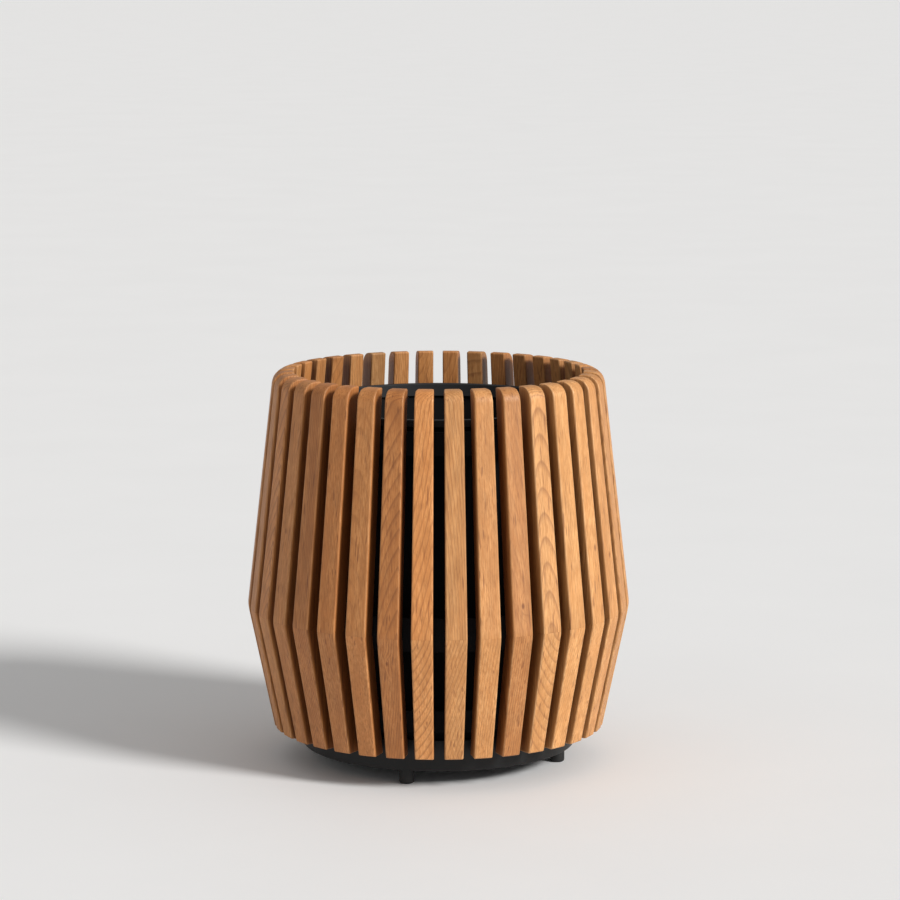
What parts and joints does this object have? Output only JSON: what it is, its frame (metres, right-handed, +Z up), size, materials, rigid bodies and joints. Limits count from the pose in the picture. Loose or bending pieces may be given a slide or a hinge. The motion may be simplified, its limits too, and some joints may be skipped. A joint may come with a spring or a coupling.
{
  "type": "litter bin",
  "caption": "Round open-top litter bin: a barrel of kinked teak slats on a black steel frame, with a lift-out steel liner, a bag ring and levelling feet.",
  "frame": {"origin": "bottom centre, on the ground between the four feet", "axes": "+Z up the bin's axis, front -Y, +X to the viewer's right"},
  "size_m": [0.5094, 0.5094, 0.522],
  "materials": {
    "teak": "oiled teak, lightly sanded",
    "black_steel": "black satin powder coat",
    "stainless": "plain stainless steel",
    "black_rubber": "matt black rubber"
  },
  "bodies": {
    "bin": {"slat_01": "teak", "slat_02": "teak", "slat_03": "teak", "slat_04": "teak", "slat_05": "teak", "slat_06": "teak", "slat_07": "teak", "slat_08": "teak", "slat_09": "teak", "slat_10": "teak", "slat_11": "teak", "slat_12": "teak", "slat_13": "teak", "slat_14": "teak", "slat_15": "teak", "slat_16": "teak", "slat_17": "teak", "slat_18": "teak", "slat_19": "teak", "slat_20": "teak", "slat_21": "teak", "slat_22": "teak", "slat_23": "teak", "slat_24": "teak", "slat_25": "teak", "slat_26": "teak", "slat_27": "teak", "slat_28": "teak", "slat_29": "teak", "slat_30": "teak", "slat_31": "teak", "slat_32": "teak", "slat_33": "teak", "slat_34": "teak", "slat_35": "teak", "slat_36": "teak", "base_ring": "black_steel", "base_plate": "black_steel", "lower_hoop": "black_steel", "middle_hoop": "black_steel", "upper_hoop": "black_steel", "frame_ribs": "black_steel", "slat_screws": "stainless", "foot_nuts": "stainless", "guide_pads": "black_rubber", "seat_pads": "black_rubber"},
    "liner": {"liner_shell": "black_steel", "liner_base": "black_steel", "liner_bead": "black_steel", "handle_lugs": "black_steel"},
    "bag_ring": {"bag_ring": "black_steel"},
    "handle_left": {"handle_left": "stainless"},
    "handle_right": {"handle_right": "stainless"},
    "foot_1": {"foot_1": "black_rubber"},
    "foot_2": {"foot_2": "black_rubber"},
    "foot_3": {"foot_3": "black_rubber"},
    "foot_4": {"foot_4": "black_rubber"}
  },
  "joints": [
    {"name": "liner_lift", "type": "slide", "parent": "bin", "child": "liner", "axis": [0, 0, 1], "range_m": [0, 0.5]},
    {"name": "bag_ring_lift", "type": "slide", "parent": "liner", "child": "bag_ring", "axis": [0, 0, 1], "range_m": [0, 0.1]},
    {"name": "handle_left_swing", "type": "hinge", "parent": "liner", "child": "handle_left", "pos_m": [-0.1574, 0, 0.424], "axis": [0, -1, 0], "range_deg": [-12, 180]},
    {"name": "handle_right_swing", "type": "hinge", "parent": "liner", "child": "handle_right", "pos_m": [0.1574, 0, 0.424], "axis": [0, 1, 0], "range_deg": [-12, 180]},
    {"name": "foot_1_screw", "type": "slide", "parent": "bin", "child": "foot_1", "axis": [0, 0, -1], "range_m": [0, 0.005]},
    {"name": "foot_2_screw", "type": "slide", "parent": "bin", "child": "foot_2", "axis": [0, 0, -1], "range_m": [0, 0.005]},
    {"name": "foot_3_screw", "type": "slide", "parent": "bin", "child": "foot_3", "axis": [0, 0, -1], "range_m": [0, 0.005]},
    {"name": "foot_4_screw", "type": "slide", "parent": "bin", "child": "foot_4", "axis": [0, 0, -1], "range_m": [0, 0.005]}
  ]
}
